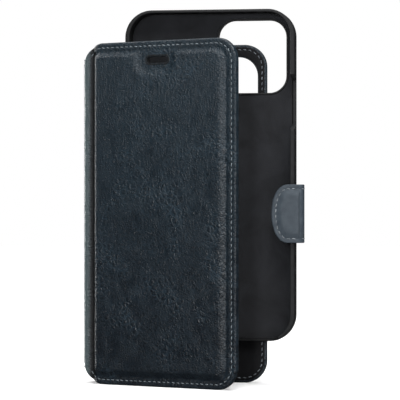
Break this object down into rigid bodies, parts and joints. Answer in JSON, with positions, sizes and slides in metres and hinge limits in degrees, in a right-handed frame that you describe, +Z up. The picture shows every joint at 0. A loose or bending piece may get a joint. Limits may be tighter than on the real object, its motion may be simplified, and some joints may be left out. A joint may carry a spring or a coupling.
{
  "type": "phone wallet case",
  "caption": "Folding leather phone wallet with a card-pocket front cover, a magnetic hard shell that lifts out, and a wrap-round clasp strap.",
  "frame": {"origin": "middle of the back cover's lower edge, at the middle of its thickness", "axes": "+Z up along the folds, +X from the spine to the free edge of the back cover, +Y out of the back cover's outer face"},
  "size_m": [0.0976, 0.0524, 0.1649],
  "materials": {
    "cover_leather": "navy blue waxed leather, satin",
    "strap_leather": "grey-blue smooth leather, satin",
    "lining": "black smooth lining, matt",
    "microfibre": "dark microfibre, matt",
    "shell_plastic": "black plastic, satin",
    "stiffener_board": "grey fibreboard, matt",
    "padding": "white foam, matt",
    "steel_plate": "bare steel",
    "magnet": "nickel plated",
    "thread": "grey-blue sewing thread"
  },
  "bodies": {
    "back_cover": {"back_leather": "cover_leather", "back_board": "stiffener_board", "back_lining": "lining", "dock_magnet_1": "magnet", "dock_magnet_2": "magnet", "dock_magnet_3": "magnet", "dock_magnet_4": "magnet", "back_seam_thread": "thread", "strap_anchor": "strap_leather", "strap_anchor_thread": "thread"},
    "spine": {"spine_leather": "cover_leather", "spine_board": "stiffener_board", "spine_lining": "lining"},
    "front_cover": {"front_leather": "cover_leather", "front_foam": "padding", "front_board": "stiffener_board", "clasp_keeper_plate": "steel_plate", "front_lining": "lining", "money_pocket": "lining", "card_pocket_top": "lining", "card_pocket_middle": "lining", "card_pocket_bottom": "lining", "front_seam_thread": "thread"},
    "shell": {"shell_tray": "shell_plastic", "shell_steel_plate": "steel_plate", "shell_lining": "microfibre", "shell_back_skin": "cover_leather"},
    "strap_rear_run": {"strap_rear_leather": "strap_leather", "strap_rear_lining": "lining"},
    "strap_side_run": {"strap_side_leather": "strap_leather", "strap_side_lining": "lining"},
    "strap_front_run": {"strap_front_leather": "strap_leather", "strap_front_lining": "lining"},
    "strap_fold_run": {"strap_fold_leather": "strap_leather", "strap_fold_lining": "lining"},
    "strap_tab": {"strap_tab_leather": "strap_leather", "strap_tab_lining": "lining", "strap_magnet": "magnet", "strap_tab_thread": "thread"}
  },
  "joints": [
    {"name": "back_fold", "type": "hinge", "parent": "back_cover", "child": "spine", "pos_m": [-0.0394, 0.0006, 0.075], "axis": [0, 0, -1], "range_deg": [0, 180]},
    {"name": "front_fold", "type": "hinge", "parent": "spine", "child": "front_cover", "pos_m": [-0.0394, -0.01625, 0.075], "axis": [0, 0, -1], "range_deg": [-24.2, 155.8]},
    {"name": "shell_dock", "type": "slide", "parent": "back_cover", "child": "shell", "axis": [0.6482, 0, 0.7615], "range_m": [-0.02206, 0]},
    {"name": "strap_root_fold", "type": "hinge", "parent": "back_cover", "child": "strap_rear_run", "pos_m": [0.044, 0.00215, 0.075], "axis": [0, 0, -1], "range_deg": [0, 90.1]},
    {"name": "strap_rear_fold", "type": "hinge", "parent": "strap_rear_run", "child": "strap_side_run", "pos_m": [0.0543, 0.00215, 0.075], "axis": [0, 0, -1], "range_deg": [-80.9, 0]},
    {"name": "strap_side_fold", "type": "hinge", "parent": "strap_side_run", "child": "strap_front_run", "pos_m": [0.05605, -0.00861, 0.075], "axis": [0, 0, -1], "range_deg": [0, 90.1]},
    {"name": "strap_front_fold", "type": "hinge", "parent": "strap_front_run", "child": "strap_fold_run", "pos_m": [0.0568, -0.01325, 0.075], "axis": [0, 0, -1], "range_deg": [-99.3, 0]},
    {"name": "tab_lift", "type": "hinge", "parent": "strap_fold_run", "child": "strap_tab", "pos_m": [0.0534, -0.01325, 0.075], "axis": [0, 0, 1], "range_deg": [0, 95]}
  ],
  "couplings": [
    {"joint": "strap_root_fold", "follows": "shell_dock", "rad_per_m": -71.199},
    {"joint": "strap_rear_fold", "follows": "shell_dock", "rad_per_m": 63.905},
    {"joint": "strap_side_fold", "follows": "shell_dock", "rad_per_m": -71.199},
    {"joint": "strap_front_fold", "follows": "shell_dock", "rad_per_m": 78.494}
  ]
}
